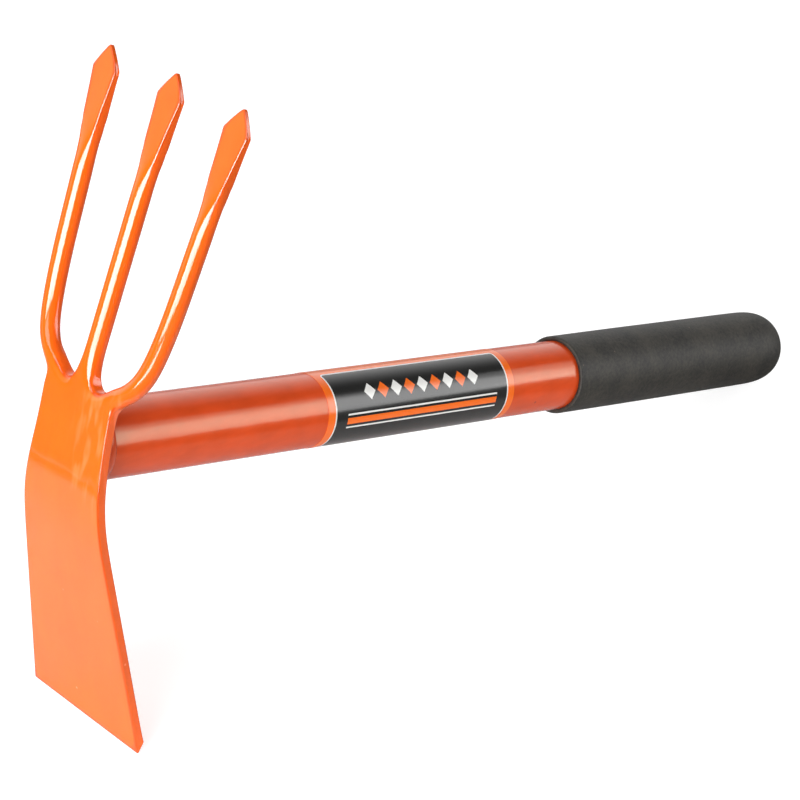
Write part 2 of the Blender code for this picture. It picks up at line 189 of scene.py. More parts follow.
def mottled(tree, first, others, low, high):
    """A pattern with shares of others added, spread so that low gives 0 and high gives 1."""
    total = first
    for pattern, share in others:
        total = add(tree, "ShaderNodeMath", {"operation": "MULTIPLY_ADD"}, {0: pattern, 1: share, 2: total})
    return add(tree, "ShaderNodeMapRange", {}, {"Value": total, "From Min": low, "From Max": high})


def specks(tree, place, spacing, core, rim, strength):
    """Round specks about this far apart: as strong as this out to the core radius, and gone at the rim."""
    cells = add(tree, "ShaderNodeTexVoronoi", {}, {"Vector": place, "Scale": 1 / spacing})
    return add(tree, "ShaderNodeMapRange", {},
               {"Value": cells, "From Min": core / spacing, "From Max": rim / spacing, "To Min": strength,
                "To Max": 0.0})


def lay_coat(tree, shader, base, layers, relief):
    """Lay colours over a base, each as its mask says, and stack bumps by height, depth and strength."""
    shown = (*base, 1.0)
    for mask, shade in layers:
        over = shade if isinstance(shade, bpy.types.NodeSocket) else (*shade, 1.0)
        shown = add(tree, "ShaderNodeMix", {"data_type": "RGBA"}, {0: mask, 6: shown, 7: over}).outputs[2]
    tree.links.new(shown, shader.inputs["Base Color"])
    below = {}
    for height, depth, strength in relief:
        bump = add(tree, "ShaderNodeBump", {"invert": depth < 0.0},
                   {"Strength": strength, "Distance": abs(depth), "Height": height, **below})
        below = {"Normal": bump}
    tree.links.new(bump.outputs[0], shader.inputs["Normal"])


# How dark a painted coat gets, as a share of its colour
DEEP = 0.86

# Where the enamel ran down one side of the neck, which also bounds the painted highlight streaks: axis, and
# where the run begins and is full
RUN_PLACE = (("Z", 84.0 * MM, 100.0 * MM), ("Z", 134.0 * MM, 120.0 * MM), ("Y", 2.0 * MM, -8.0 * MM))

# Share of each of red, green and blue that is left where the enamel is thin
THIN = (0.72, 0.5, 0.5)


def orange_enamel(shade):
    """Stoved enamel on forged steel: dipped, so thick and glossy, with slow waves and a faint orange peel."""
    material, tree, shader = new_material("stoved_enamel")
    place = add(tree, "ShaderNodeTexCoord", {}, {}).outputs["Object"]
    drift = add(tree, "ShaderNodeTexNoise", {}, {"Vector": place, "Scale": 1 / (18.0 * MM), "Detail": 3.0})
    wave = add(tree, "ShaderNodeTexNoise", {}, {"Vector": place, "Scale": 1 / (12.0 * MM), "Detail": 1.0})
    peel = add(tree, "ShaderNodeTexNoise", {}, {"Vector": place, "Scale": 1 / (1.4 * MM), "Detail": 2.0})
    drained = add(tree, "ShaderNodeMapping", {}, {"Vector": place, "Scale": (1.0, 1.0, 0.2)})
    run = add(tree, "ShaderNodeTexNoise", {}, {"Vector": drained, "Scale": 1 / (4.0 * MM), "Detail": 2.0})
    depth = mottled(tree, drift, ((run, 0.6), (peel, 0.5)), 0.75, 1.35)
    # Runs that drained down one side of the neck stand proud; their paler streaks are a painted highlight, in
    # place of reflections on the runs
    sides = add(tree, "ShaderNodeSeparateXYZ", {}, {"Vector": place})
    proud = fade(tree, sides, RUN_PLACE)
    streak_space = add(tree, "ShaderNodeMapping", {}, {"Vector": place, "Scale": (1.0, 1.0, 0.07)})
    streak_noise = add(tree, "ShaderNodeTexNoise", {}, {"Vector": streak_space, "Scale": 1 / (2.8 * MM), "Detail": 1.0})
    streak_mask = add(tree, "ShaderNodeMapRange", {"interpolation_type": "SMOOTHSTEP"},
                {"Value": streak_noise, "From Min": 0.45, "From Max": 0.68})
    painted_highlight_streaks = add(tree, "ShaderNodeMath", {"operation": "MULTIPLY"}, {0: proud, 1: streak_mask})
    # Dust caught in the coat, about one speck in a square centimetre
    dust = specks(tree, place, 11.0 * MM, 0.22 * MM, 0.55 * MM, 0.5)
    # The coat draws thin along the edges, and the dark steel dulls it there
    rim = add(tree, "ShaderNodeAttribute", {"attribute_name": "edge"}, {})
    ragged = add(tree, "ShaderNodeMath", {"operation": "MULTIPLY_ADD"},
                 {0: run, 1: 0.24, 2: rim.outputs["Fac"]})
    bare = add(tree, "ShaderNodeMapRange", {},
               {"Value": ragged, "From Min": 0.84, "From Max": 1.04, "To Min": 0.0, "To Max": 0.85})
    # Slow waves lie all over, and the runs stand on them most where they drained
    gain = add(tree, "ShaderNodeMath", {"operation": "MULTIPLY_ADD"}, {0: proud, 1: 1.1, 2: 0.15})
    heights = add(tree, "ShaderNodeMath", {"operation": "MULTIPLY_ADD"}, {0: run, 1: gain, 2: wave})
    lay_coat(tree, shader, [c * DEEP for c in shade], (
        (depth, shade),
        # Paler streaks along the runs: a painted highlight
        (painted_highlight_streaks, to_linear("F77137")),
        (dust, to_linear("FFA06F")),
        (bare, [c * share for c, share in zip(shade, THIN)]),
    ), ((heights, 0.12 * MM, 1.0), (peel, 0.008 * MM, 1.0)))
    shader.inputs["Roughness"].default_value = 0.08
    shader.inputs["IOR"].default_value = 1.6
    return material


def tube_coat(shade):
    """Powder coat on drawn steel tube: satin, blotchy along the draw, with a fine pebble and pin holes."""
    material, tree, shader = new_material("powder_coat")
    place = add(tree, "ShaderNodeTexCoord", {}, {}).outputs["Object"]
    drift = add(tree, "ShaderNodeTexNoise", {}, {"Vector": place, "Scale": 1 / (12.0 * MM), "Detail": 4.0})
    pebble = add(tree, "ShaderNodeTexNoise", {}, {"Vector": place, "Scale": 1 / (0.8 * MM), "Detail": 2.0})
    long_way = add(tree, "ShaderNodeMapping", {}, {"Vector": place, "Scale": (0.12, 1.0, 1.0)})
    drawn = add(tree, "ShaderNodeTexNoise", {}, {"Vector": long_way, "Scale": 1 / (2.2 * MM), "Detail": 3.0})
    depth = mottled(tree, drift, ((drawn, 0.5),), 0.55, 0.95)
    pins = specks(tree, place, 12.0 * MM, 0.24 * MM, 0.6 * MM, 0.75)
    lay_coat(tree, shader, [c * DEEP for c in shade], ((depth, shade), (pins, to_linear("892719"))),
             ((pebble, 0.014 * MM, 1.0), (pins, -0.1 * MM, 1.0), (drift, 0.07 * MM, 1.0)))
    gloss = add(tree, "ShaderNodeMapRange", {},
                {"Value": drawn, "From Min": 0.3, "From Max": 0.7, "To Min": 0.15, "To Max": 0.24})
    tree.links.new(gloss.outputs[0], shader.inputs["Roughness"])
    # Highlights on the real coat look cream, so the gloss is tinted a little away from the red under it
    shader.inputs["Specular Tint"].default_value = (*to_linear("E7FFDF"), 1.0)
    shader.inputs["IOR"].default_value = 1.58
    return material


# The foam's darkest and palest mottles, as shares of its colour
FOAM_DARK = 0.35
FOAM_PALE = 1.8


def foam_rubber(shade):
    """Moulded NBR foam: a closed skin with pores of half a millimetre, so matte and slightly mottled."""
    material, tree, shader = new_material("nbr_foam")
    place = add(tree, "ShaderNodeTexCoord", {}, {}).outputs["Object"]
    grain = add(tree, "ShaderNodeTexNoise", {}, {"Vector": place, "Scale": 1 / (1.3 * MM), "Detail": 5.0,
                                                 "Roughness": 0.7})
    patch = add(tree, "ShaderNodeTexNoise", {}, {"Vector": place, "Scale": 1 / (11.0 * MM), "Detail": 3.0})
    depth = mottled(tree, grain, ((patch, 0.6),), 0.62, 0.98)
    # Pale crumbs of talc left from the mould, under a millimetre
    crumbs = specks(tree, place, 8.0 * MM, 0.24 * MM, 0.4 * MM, 0.2)
    pores = add(tree, "ShaderNodeTexVoronoi", {}, {"Vector": place, "Scale": 1 / (0.6 * MM)})
    lay_coat(tree, shader, [c * FOAM_DARK for c in shade],
             ((depth, [c * FOAM_PALE for c in shade]), (crumbs, to_linear("AA907C"))),
             ((pores, 0.06 * MM, 0.6), (grain, 0.1 * MM, 0.5)))
    shader.inputs["Roughness"].default_value = 0.6
    shader.inputs["IOR"].default_value = 1.52
    return material


def plug_plastic():
    """Moulded polyethylene: waxy and dull."""
    material, tree, shader = new_material("polyethylene")
    place = add(tree, "ShaderNodeTexCoord", {}, {}).outputs["Object"]
    flow = add(tree, "ShaderNodeTexNoise", {}, {"Vector": place, "Scale": 1 / (6.0 * MM), "Detail": 3.0})
    grain = add(tree, "ShaderNodeTexNoise", {}, {"Vector": place, "Scale": 1 / (1.0 * MM), "Detail": 2.0})
    lay_coat(tree, shader, to_linear("1D1D1D"), ((flow, to_linear("353433")),),
             ((grain, 0.01 * MM, 1.0),))
    shader.inputs["Roughness"].default_value = 0.5
    return material


# The print, with angles measured round the tube from its top
PANEL_TOP = -0.5 * MM
PANEL_END = math.radians(168.0)
PANEL_CORNER = 1.6 * MM
LOZENGES = 9
LOZENGE_PITCH = 6.4 * MM
LOZENGE_HALF_WIDE = 2.688 * MM
LOZENGE_HALF_TALL = 2.94 * MM
LOZENGE_ANGLE = math.radians(46.0)
BAR_ANGLE = math.radians(88.0)
BAR_HALF = 1.1 * MM
RULE_OFF = 2.3 * MM
RULE_HALF = 0.3 * MM
RULE_REACH = 37.0 * MM


def printed_film(label, radius):
    """Gloss vinyl film: flat inks under a clear coat, as a dark panel, pale keyline and orange ground."""
    material, tree, shader = new_material("printed_vinyl")
    uv = add(tree, "ShaderNodeUVMap", {"uv_map": "print"}, {})
    middle = label.length / 2.0
    panel_low = -radius * PANEL_END
    inset = (middle - label.border - PANEL_CORNER, (PANEL_TOP - panel_low) / 2.0 - PANEL_CORNER, 0.0)
    # How far a point lies outside a panel that is smaller by the corner's radius
    centred = add(tree, "ShaderNodeVectorMath", {"operation": "SUBTRACT"},
                  {0: uv, 1: (middle, (PANEL_TOP + panel_low) / 2.0, 0.0)})
    folded = add(tree, "ShaderNodeVectorMath", {"operation": "ABSOLUTE"}, {0: centred})
    past = add(tree, "ShaderNodeVectorMath", {"operation": "SUBTRACT"}, {0: folded, 1: inset})
    outside = add(tree, "ShaderNodeVectorMath", {"operation": "MAXIMUM"}, {0: past, 1: (0.0, 0.0, 0.0)})
    reach = add(tree, "ShaderNodeVectorMath", {"operation": "LENGTH"}, {0: outside})
    in_key = add(tree, "ShaderNodeMath", {"operation": "LESS_THAN"},
                 {0: reach.outputs["Value"], 1: PANEL_CORNER})
    in_panel = add(tree, "ShaderNodeMath", {"operation": "LESS_THAN"},
                   {0: reach.outputs["Value"], 1: PANEL_CORNER - label.keyline})
    # How far it lies from the label's middle, from the row of lozenges and from the bar
    axes = add(tree, "ShaderNodeSeparateXYZ", {}, {"Vector": uv})
    away = []
    for axis, line in (("X", middle), ("Y", -radius * LOZENGE_ANGLE), ("Y", -radius * BAR_ANGLE)):
        over = add(tree, "ShaderNodeMath", {"operation": "SUBTRACT"}, {0: axes.outputs[axis], 1: line})
        away.append(add(tree, "ShaderNodeMath", {"operation": "ABSOLUTE"}, {0: over}))
    from_middle, from_row, from_bar = away
    # A row of lozenges, pale and orange by turns
    step = add(tree, "ShaderNodeMath", {"operation": "MULTIPLY_ADD"},
               {0: axes.outputs["X"], 1: 1.0 / LOZENGE_PITCH, 2: LOZENGES / 2.0 - middle / LOZENGE_PITCH})
    share = add(tree, "ShaderNodeMath", {"operation": "FRACT"}, {0: step})
    shifted = add(tree, "ShaderNodeMath", {"operation": "SUBTRACT"}, {0: share, 1: 0.5})
    wide = add(tree, "ShaderNodeMath", {"operation": "ABSOLUTE"}, {0: shifted})
    spread = add(tree, "ShaderNodeMath", {"operation": "MULTIPLY"},
                 {0: wide, 1: LOZENGE_PITCH / LOZENGE_HALF_WIDE})
    slant = add(tree, "ShaderNodeMath", {"operation": "MULTIPLY_ADD"},
                {0: from_row, 1: 1.0 / LOZENGE_HALF_TALL, 2: spread})
    lozenge = add(tree, "ShaderNodeMath", {"operation": "LESS_THAN"}, {0: slant, 1: 1.0})
    in_row = add(tree, "ShaderNodeMath", {"operation": "LESS_THAN"},
                 {0: from_middle, 1: LOZENGES / 2.0 * LOZENGE_PITCH})
    turn = add(tree, "ShaderNodeMath", {"operation": "MODULO"}, {0: step, 1: 2.0})
    even = add(tree, "ShaderNodeMath", {"operation": "LESS_THAN"}, {0: turn, 1: 1.0})
    by_turns = add(tree, "ShaderNodeMix", {"data_type": "RGBA"},
                   {0: even, 6: (*label.ground, 1.0), 7: (*label.pale, 1.0)})
    # Two pale rules with an orange bar between them, below the lozenges
    rule = add(tree, "ShaderNodeMath", {"operation": "COMPARE"}, {0: from_bar, 1: RULE_OFF, 2: RULE_HALF})
    bar = add(tree, "ShaderNodeMath", {"operation": "LESS_THAN"}, {0: from_bar, 1: BAR_HALF})
    in_reach = add(tree, "ShaderNodeMath", {"operation": "LESS_THAN"}, {0: from_middle, 1: RULE_REACH})
    layers = [(in_key, label.pale), (in_panel, label.ink)]
    for mark, limit, ink in ((lozenge, in_row, by_turns.outputs[2]), (rule, in_reach, label.pale),
                             (bar, in_reach, label.ground)):
        mask = add(tree, "ShaderNodeMath", {"operation": "MULTIPLY"}, {0: mark, 1: limit})
        layers.append((mask, ink))
    place = add(tree, "ShaderNodeTexCoord", {}, {}).outputs["Object"]
    ripple = add(tree, "ShaderNodeTexNoise", {}, {"Vector": place, "Scale": 1 / (6.0 * MM), "Detail": 2.0})
    lay_coat(tree, shader, label.ground, layers, ((ripple, 0.02 * MM, 1.0),))
    shader.inputs["Roughness"].default_value = 0.18
    shader.inputs["IOR"].default_value = 1.56
    return material


# Finishing a piece

SMOOTH_LEVELS = 3
MERGE_DISTANCE = 1e-7


def smoothed(mesh):
    """The mesh after Catmull-Clark smoothing."""
    carrier = bpy.data.objects.new("carrier", mesh)
    bpy.context.scene.collection.objects.link(carrier)
    smooth = carrier.modifiers.new("Forged surface", "SUBSURF")
    smooth.levels = SMOOTH_LEVELS
    smooth.render_levels = SMOOTH_LEVELS
    graph = bpy.context.evaluated_depsgraph_get()
    result = bpy.data.meshes.new_from_object(carrier.evaluated_get(graph))
    bpy.data.objects.remove(carrier, do_unlink=True)
    return result


def add_piece(name, mesh, material, nodes):
    """Lay a mesh drawn along the tube down on the floor, and let it stand for its CAD nodes."""
    mesh.name = name
    mesh.transform(TO_FLOOR)
    mesh.shade_smooth()
    mesh.materials.clear()
    mesh.materials.append(material)
    piece = bpy.data.objects.new(name, mesh)
    bpy.context.scene.collection.objects.link(piece)
    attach(piece, "root")
    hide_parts(*nodes)
    return piece


def mesh_from(bm):
    """A mesh with its doubles merged and its faces turned outwards."""
    bmesh.ops.remove_doubles(bm, verts=bm.verts, dist=MERGE_DISTANCE)
    bmesh.ops.recalc_face_normals(bm, faces=bm.faces)
    mesh = bpy.data.meshes.new("piece")
    bm.to_mesh(mesh)
    bm.free()
    return mesh


# The head: a flat layout of width u and height w, bent along one side profile

# Columns of the net from the middle to an edge, as shares of the half width
COLUMNS = (0.0, 0.18, 0.35, 0.53, 0.70, 0.86, 1.0)
LAST = len(COLUMNS) - 1

# Rows of the net: shares of the way up the blade, the bend and the neck
BLADE_ROWS = (0.0, 0.3, 0.6, 0.85)
BEND_ROWS = (0.1, 0.45, 0.8)
NECK_ROWS = (0.08, 0.5, 0.85)

# Points across the top row that carry the left, middle and right tine
LEFT_ROOT = slice(0, 3)
MIDDLE_ROOT = slice(5, 8)
RIGHT_ROOT = slice(10, 13)

# How sharp the edges and the spears' shoulders stay when the net is smoothed
PLATE_CREASE = 0.38
CUT_CREASE = 0.6
CORNER_CREASE = 0.55
SPEAR_CREASE = 0.75
SPEAR_PIN = 0.7

# Top of the plain neck over the tube, and the size and rise of the webs between the tines
NECK_TOP = 1.9 * MM
WEB_FILLET = 1.9 * MM
WEB_RISE = 4.6 * MM

# How far an outer tine leans outwards: where its arm starts, at the foot of its shank, within the shank's
# bend, and above that
ARM_HEADING = math.radians(59.0)
SHANK_HEADING = math.radians(13.2)
UPPER_HEADING = math.radians(10.25)
TINE_SPLAY = math.radians(3.3)

# Radii of the arm's and the shank's bend, and how far out and up the straight part of the shank starts
ARM_BEND = 21.3 * MM
SHANK_BEND = 105.0 * MM
SHANK_OFFSET = 27.4 * MM
SHANK_RISE = 32.6 * MM

# A spear's point: its length, how far it lies behind the middle tine's axis, and its half width and thickness
POINT_LENGTH = 7.3 * MM
POINT_DEPTH = 0.35 * MM
POINT_HALF_WIDE = 0.35 * MM
POINT_HALF_THICK = 0.6 * MM

# A smoothed ring of eight corners ends at this share of their radius
OCTAGON_SHRINK = (4.0 + 2.0 * math.cos(math.radians(45.0))) / 6.0


class Sheet:
    """The head's side profile, width and thickness."""

    def __init__(self, head, tube_radius):
        self.head = head
        self.tube_radius = tube_radius
        self.bend_start = head.bend_radius * math.tan(head.blade_angle / 2.0) - head.bend_drop
        self.bend_end = self.bend_start - head.bend_radius * head.blade_angle
        self.bottom = self.bend_end - head.blade_length
        self.lean_start = head.root_height + WEB_RISE

    def place(self, u, w, depth):
        """Point at width u and height w, depth behind the front surface."""
        x, z, lean = self.profile(w)
        return Vector((x + depth * math.cos(lean), u, z - depth * math.sin(lean)))

    def profile(self, w):
        """Front surface at height w: how far back, how high, and how far it leans."""
        head = self.head
        if w > self.lean_start:
            run = w - self.lean_start
            lean = head.tine_lean
            return run * math.sin(lean), self.lean_start + run * math.cos(lean), lean
        if w >= self.bend_start:
            return 0.0, w, 0.0
        turn = min((self.bend_start - w) / head.bend_radius, head.blade_angle)
        x = head.bend_radius * (1.0 - math.cos(turn))
        z = self.bend_start - head.bend_radius * math.sin(turn)
        straight = max(self.bend_end - w, 0.0)
        return x + straight * math.sin(turn), z - straight * math.cos(turn), -turn

    def half_width(self, w):
        """Half the width of neck or blade at height w."""
        head = self.head
        flared = head.neck_half + head.neck_flare
        stations = ((self.tube_radius / 2.0, head.neck_half), (self.bend_start, flared),
                    (self.bend_end, flared + head.bend_flare), (self.bottom, head.blade_half))
        if w >= stations[0][0]:
            return head.neck_half
        for (high, upper), (low, lower) in zip(stations, stations[1:]):
            if w >= low:
                return upper + (lower - upper) * (high - w) / (high - low)
        return head.blade_half

    def thickness(self, w):
        """Thickness at height w, which thins from the neck to the cutting edge."""
        head = self.head
        share = min(max((self.bend_start - w) / (self.bend_start - self.bottom), 0.0), 1.0)
        return head.neck_thickness + (head.blade_thickness - head.neck_thickness) * share


class Cage:
    """A flat net of quads with a front and a back layer, closed round its rim by a two-quad wall."""

    def __init__(self):
        self.bm = bmesh.new()
        self.crease = self.bm.edges.layers.float.new("crease_edge")
        self.pin = self.bm.verts.layers.float.new("crease_vert")
        self.edge = self.bm.verts.layers.float.new("edge")
        self.nodes = []
        self.quads = []

    def node(self, front, back, rim=None, crease=0.0, pin=0.0, corner=False):
        """Add a point of both layers; the rest counts only where it ends up on the rim."""
        middle = rim if rim is not None else (front + back) / 2.0
        self.nodes.append({"front": self.bm.verts.new(front), "back": self.bm.verts.new(back),
                           "middle": middle, "crease": crease, "pin": pin, "corner": corner})
        return len(self.nodes) - 1

    def quad(self, a, b, c, d):
        """Join four points by their numbers."""
        self.quads.append((a, b, c, d))

    def close(self):
        """Make the front, the back and the wall, with creased edges round the rim, and return the net."""
        use = {}
        for quad in self.quads:
            self.bm.faces.new([self.nodes[i]["front"] for i in quad])
            self.bm.faces.new([self.nodes[i]["back"] for i in reversed(quad)])
            for i in range(4):
                pair = (quad[i], quad[(i + 1) % 4])
                use.setdefault(frozenset(pair), []).append(pair)
        rim = [pairs[0] for pairs in use.values() if len(pairs) == 1]
        for i in {index for pair in rim for index in pair}:
            node = self.nodes[i]
            node["wall"] = self.bm.verts.new(node["middle"])
            for vert in (node["front"], node["back"]):
                vert[self.pin] = node["pin"]
                vert[self.edge] = 1.0 if node["crease"] > 0.0 else 0.0
        for i, j in rim:
            a, b = self.nodes[i], self.nodes[j]
            self.bm.faces.new((b["front"], a["front"], a["wall"], b["wall"]))
            self.bm.faces.new((b["wall"], a["wall"], a["back"], b["back"]))
            for layer in ("front", "back"):
                edge = self.bm.edges.get((a[layer], b[layer]))
                edge[self.crease] = min(a["crease"], b["crease"])
        for node in self.nodes:
            if node["corner"]:
                for layer in ("front", "back"):
                    edge = self.bm.edges.get((node[layer], node["wall"]))
                    edge[self.crease] = CORNER_CREASE
        return self.bm


def both_sides():
    """Column numbers from the left edge to the right edge, with the side of each."""
    return [(-1, i) for i in range(LAST, -1, -1)] + [(1, i) for i in range(1, LAST + 1)]


def plate_row(cage, sheet, w):
    """One row across the flat blade, the bend or the neck."""
    row = []
    for side, column in both_sides():
        u = side * COLUMNS[column] * sheet.half_width(w)
        row.append(cage.node(sheet.place(u, w, 0.0), sheet.place(u, w, sheet.thickness(w)),
                             crease=PLATE_CREASE if column == LAST else 0.0))
    return row


def bottom_row(cage, sheet):
    """The cutting edge: sharp in front, ground back on the rear face."""
    head = sheet.head
    row = []
    for side, column in both_sides():
        u = side * COLUMNS[column] * head.blade_half
        front = sheet.place(u, sheet.bottom, 0.0)
        back = sheet.place(u, sheet.bottom + head.bevel, head.blade_thickness)
        row.append(cage.node(front, back, crease=CUT_CREASE, corner=column == LAST))
    return row


def root_rows(cage, sheet):
    """The two rows where the neck thickens and divides into three tines."""
    head = sheet.head
    bar = head.bar_radius
    root = head.root_height
    low = root - 1.1 * bar
    lift = 0.35 * bar
    half = head.neck_half
    low_row = [(0.0, low + lift), (0.9 * bar, low + lift), (0.32 * half, low), (0.51 * half, low),
               (0.69 * half, low), (0.85 * half, low), (half, low)]
    arm = arm_point(sheet, ARM_HEADING)
    dip = 0.1 * WEB_RISE
    top_row = [(0.0, root + WEB_RISE), (bar + 0.25 * WEB_FILLET, root + 0.87 * WEB_RISE),
               (bar + WEB_FILLET, root + dip), (0.5 * (bar + arm[0]) - 0.3 * WEB_FILLET, root - dip)]
    for side in (-1, 0, 1):
        reach = side * bar
        top_row.append((arm[0] + reach * math.cos(ARM_HEADING), arm[1] - reach * math.sin(ARM_HEADING)))
    return [root_row(cage, sheet, low_row, head.neck_thickness, (LAST,), PLATE_CREASE),
            root_row(cage, sheet, top_row, 2.0 * bar, (1, 2, 3, 4, LAST), 0.5 * PLATE_CREASE)]


def root_row(cage, sheet, points, deep, rim, crease):
    """A row through given points, as deep as this, rounded in a little where it borders a gap."""
    skin = 0.16 * (deep - sheet.head.neck_thickness)
    row = []
    for side, column in both_sides():
        u, w = points[column]
        inset = skin if column in rim else 0.0
        row.append(cage.node(sheet.place(side * u, w, inset), sheet.place(side * u, w, deep - inset),
                             crease=crease if column in rim else 0.0))
    return row


def arm_point(sheet, heading):
    """Centre line of an outer tine where it leans outwards by this angle: two arcs above the neck."""
    shank = min(heading, SHANK_HEADING)
    y = SHANK_OFFSET - SHANK_BEND * (math.cos(TINE_SPLAY) - math.cos(shank))
    w = sheet.head.root_height + SHANK_RISE - SHANK_BEND * (math.sin(shank) - math.sin(TINE_SPLAY))
    if heading > SHANK_HEADING:
        y -= ARM_BEND * (math.cos(SHANK_HEADING) - math.cos(heading))
        w -= ARM_BEND * (math.sin(heading) - math.sin(SHANK_HEADING))
    return Vector((y, w))


def tine_ring(cage, sheet, centre, heading, half_wide, half_thick, depth, square, crease=0.0, pin=0.0):
    """Three nodes across a tine, whose front, rim and back points make a ring of eight."""
    corner = math.cos(math.radians(45.0)) / OCTAGON_SHRINK
    round_out = 1.0 / OCTAGON_SHRINK
    edge_share = corner + (1.0 - corner) * square
    face_share = round_out + (1.0 - round_out) * square
    across = Vector((math.cos(heading), -math.sin(heading)))
    ring = []
    for side in (-1, 0, 1):
        spot = centre + across * side * half_wide * edge_share
        thick = half_thick * (edge_share if side else face_share)
        rim_spot = centre + across * side * half_wide * face_share
        front = sheet.place(*spot, depth - thick)
        back = sheet.place(*spot, depth + thick)
        rim = sheet.place(*rim_spot, depth) if side else None
        ring.append(cage.node(front, back, rim=rim, crease=crease, pin=pin if side else 0.0))
    return ring


def spear_rings(cage, sheet, tip, heading, setback):
    """The flattened end of a tine, from where the bar starts to spread to the point."""
    head = sheet.head
    bar = head.bar_radius
    wide = head.spear_width / 2.0
    thick = head.spear_thickness / 2.0
    along = Vector((math.sin(heading), math.cos(heading)))
    rings = []
    for share in (0.0, 0.12, 0.26, 0.45, 0.67, 0.86, 1.0):
        centre = tip - along * (head.spear_length - (head.spear_length - POINT_LENGTH) * share)
        depth = bar + setback + (POINT_DEPTH - setback) * share
        rings.append(tine_ring(cage, sheet, centre, heading, bar + (wide - bar) * share ** 2,
                               bar + (thick - bar) * share ** 0.8, depth, min(1.0, 1.9 * share),
                               crease=SPEAR_CREASE * min(1.0, 2.0 * share),
                               pin=SPEAR_PIN if share == 1.0 else 0.0))
    for share in (0.5, 0.0):
        rings.append(tine_ring(cage, sheet, tip - along * POINT_LENGTH * share, heading,
                               POINT_HALF_WIDE + (wide - POINT_HALF_WIDE) * share * 1.1,
                               POINT_HALF_THICK + (thick - POINT_HALF_THICK) * share,
                               bar + POINT_DEPTH, 1.0, crease=SPEAR_CREASE))
    return rings


def join_rows(cage, rows):
    """Quads between each row of nodes and the next."""
    for low, high in zip(rows, rows[1:]):
        for i in range(len(low) - 1):
            cage.quad(low[i], low[i + 1], high[i + 1], high[i])


def middle_tine(cage, sheet, root):
    """The straight tine, grown from three points of the neck's top row."""
    head = sheet.head
    bar = head.bar_radius
    shank_top = head.middle_length - head.spear_length
    rings = [root]
    for share in (0.15, 0.27, 0.48, 0.74):
        centre = Vector((0.0, head.root_height + shank_top * share))
        rings.append(tine_ring(cage, sheet, centre, 0.0, bar, bar, bar, 0.0))
    rings += spear_rings(cage, sheet, Vector((0.0, head.root_height + head.middle_length)), 0.0, 0.0)
    join_rows(cage, rings)


def outer_tine(cage, sheet, root, side):
    """A tine whose arm bends out of the neck and up into a splayed shank."""
    head = sheet.head
    bar = head.bar_radius
    start = arm_point(sheet, TINE_SPLAY)
    along = Vector((math.sin(TINE_SPLAY), math.cos(TINE_SPLAY)))
    tip = start + along * (head.outer_length - SHANK_RISE)
    turn = ARM_HEADING - SHANK_HEADING
    headings = [SHANK_HEADING + turn * share for share in (0.75, 0.45, 0.15)]
    headings += [UPPER_HEADING, TINE_SPLAY]
    stations = [(arm_point(sheet, heading), heading) for heading in headings]
    shank = head.outer_length - SHANK_RISE - head.spear_length
    stations.append((start + along * shank * 0.5, TINE_SPLAY))
    depths = [bar + head.outer_setback * share for share in (0.1, 0.4, 0.8, 1.0, 1.0, 1.0)]
    rings = [root]
    for (centre, heading), depth in zip(stations, depths):
        rings.append(tine_ring(cage, sheet, Vector((side * centre[0], centre[1])), side * heading,
                               bar, bar, depth, 0.0))
    rings += spear_rings(cage, sheet, Vector((side * tip[0], tip[1])), side * TINE_SPLAY, head.outer_setback)
    join_rows(cage, rings)


def head_mesh(head, handle):
    """Blade, neck and three tines in one forging."""
    sheet = Sheet(head, handle.tube_radius)
    cage = Cage()
    rows = [bottom_row(cage, sheet)]
    for low, high, shares in ((sheet.bottom + 1.3 * head.bevel, sheet.bend_end, BLADE_ROWS),
                              (sheet.bend_end, sheet.bend_start, BEND_ROWS),
                              (sheet.bend_start, handle.tube_radius + NECK_TOP, NECK_ROWS)):
        rows += [plate_row(cage, sheet, low + (high - low) * share) for share in shares]
    rows += root_rows(cage, sheet)
    join_rows(cage, rows)
    top = rows[-1]
    middle_tine(cage, sheet, top[MIDDLE_ROOT])
    outer_tine(cage, sheet, top[LEFT_ROOT], -1)
    outer_tine(cage, sheet, top[RIGHT_ROOT], 1)
    return mesh_from(cage.close())


# Turned pieces along the tube

TUBE_SEGMENTS = 160
TUBE_STEPS = 24
TUBE_EASE = 0.25 * MM

# Room between the tube's end and the foam, for the plug's flange
PLUG_ROOM = 2.1 * MM

# Steps of the grip's outline: round it, along its bore, round its lip, along its body and over its dome
GRIP_SEGMENTS = 144
BORE_STEPS = 12
LIP_STEPS = 8
BODY_STEPS = 40
DOME_STEPS = 40

# The grip's mouth: its rounded outer lip and its eased bore
GRIP_LIP = 0.7 * MM
MOUTH_DEPTH = 0.25 * MM
MOUTH_EASE = 0.2 * MM

# The grip's radius by its mouth, the swell between its ends and the radius where the dome starts, as shares,
# and how much faster than the body's length the swell comes up
MOUTH_SHARE = 0.993
SWELL_SHARE = 0.007
DOME_SHARE = 0.998
SWELL_PACE = 1.6

# Power of the dome's outline, where 2 is an ellipse and more is blunter
DOME_POWER = 3.6


def turned_mesh(profile, segments, closed):
    """Turn (x, radius) points about the X axis; the outline is closed, or ends on the axis."""
    bm = bmesh.new()
    verts = [bm.verts.new((x, 0.0, radius)) for x, radius in profile]
    pairs = list(zip(verts, verts[1:])) + ([(verts[-1], verts[0])] if closed else [])
    edges = [bm.edges.new(pair) for pair in pairs]
    bmesh.ops.spin(bm, geom=verts + edges, cent=(0.0, 0.0, 0.0), axis=(1.0, 0.0, 0.0),
                   angle=2.0 * math.pi, steps=segments, use_merge=True)
    return mesh_from(bm)


def tube_start(head, handle):
    """Where the tube begins behind the neck, clear of the bend."""
    sheet = Sheet(head, handle.tube_radius)
    sweep = max(sheet.bend_start + handle.tube_radius, 0.0) ** 2 / (2.0 * head.bend_radius)
    return head.neck_thickness + sweep + GAP


